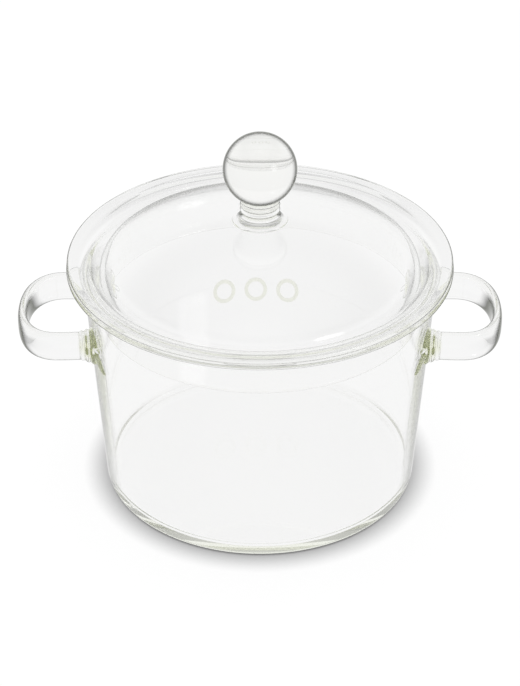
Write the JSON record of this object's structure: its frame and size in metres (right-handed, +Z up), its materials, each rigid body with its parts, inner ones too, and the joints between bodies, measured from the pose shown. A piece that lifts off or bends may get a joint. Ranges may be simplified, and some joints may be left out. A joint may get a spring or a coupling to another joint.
{
  "type": "glass cooking pot",
  "caption": "Clear glass cooking pot with a flared lip, side loop handles, and a low domed lift-off lid with a locating collar and a solid ball knob.",
  "frame": {"origin": "centre of the base, on the surface that the pot stands on", "axes": "+Z up along the pot's axis, +X towards the right handle, -Y towards the front"},
  "size_m": [0.2586, 0.2028, 0.2029],
  "materials": {
    "vessel_glass": "clear, fire polished",
    "rod_glass": "clear, fire polished",
    "weld_glass": "clear with a faint yellow-green tint, ridged by flame work",
    "lid_glass": "clear, fire polished",
    "knob_glass": "clear, fire polished",
    "printed_enamel": "thin fired print, pale yellow-green"
  },
  "bodies": {
    "pot": {"pot_vessel": "vessel_glass", "handle_left": "rod_glass", "handle_right": "rod_glass", "weld_left_near": "weld_glass", "weld_left_far": "weld_glass", "weld_right_near": "weld_glass", "weld_right_far": "weld_glass"},
    "lid": {"lid_plate": "lid_glass", "lid_collar": "lid_glass", "knob_foot": "knob_glass", "knob_neck": "knob_glass", "knob_ball": "knob_glass"}
  },
  "joints": [
    {"name": "lid_lift", "type": "slide", "parent": "pot", "child": "lid", "axis": [0, 0, 1], "range_m": [0, 0.06]}
  ]
}
